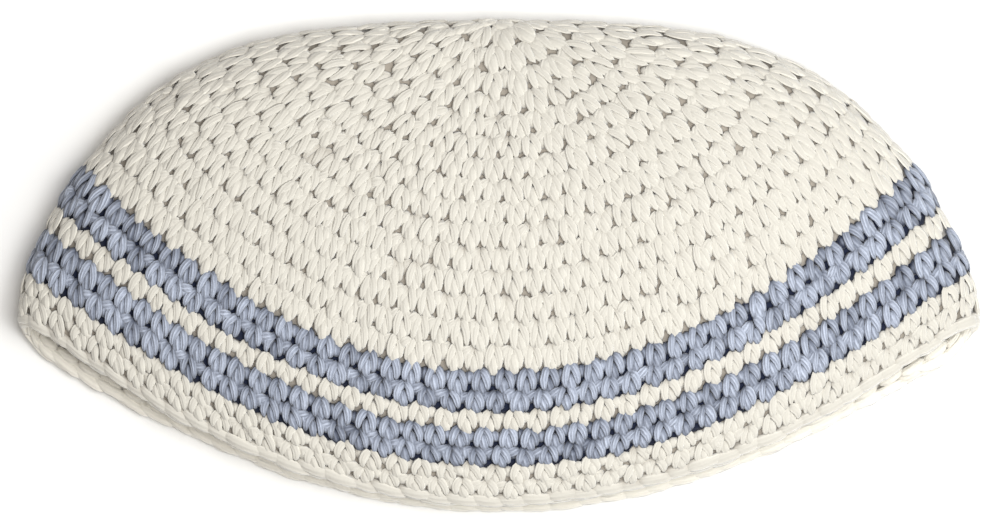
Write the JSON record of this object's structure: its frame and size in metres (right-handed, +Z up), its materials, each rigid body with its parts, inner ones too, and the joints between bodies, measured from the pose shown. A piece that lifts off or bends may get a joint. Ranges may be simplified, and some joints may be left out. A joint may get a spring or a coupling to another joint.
{
  "type": "crocheted skullcap",
  "caption": "Crocheted cotton skullcap, cream with blue bands near the rim, folded in half and lying flat; the open rim lets a head into the hollow.",
  "frame": {"origin": "on the table, under the middle of the lying cap's box", "axes": "+X along the width from fold to fold, +Y from the open rim towards the crown fold, +Z up off the table"},
  "size_m": [0.2212, 0.1124, 0.0196],
  "materials": {
    "cream_yarn": "matte cotton yarn, single crochet",
    "blue_yarn": "matte cotton yarn, single crochet"
  },
  "bodies": {
    "root": {"crown": "cream_yarn", "upper_blue_band": "blue_yarn", "middle_cream_round": "cream_yarn", "lower_blue_band": "blue_yarn", "edge_band": "cream_yarn"}
  },
  "joints": []
}
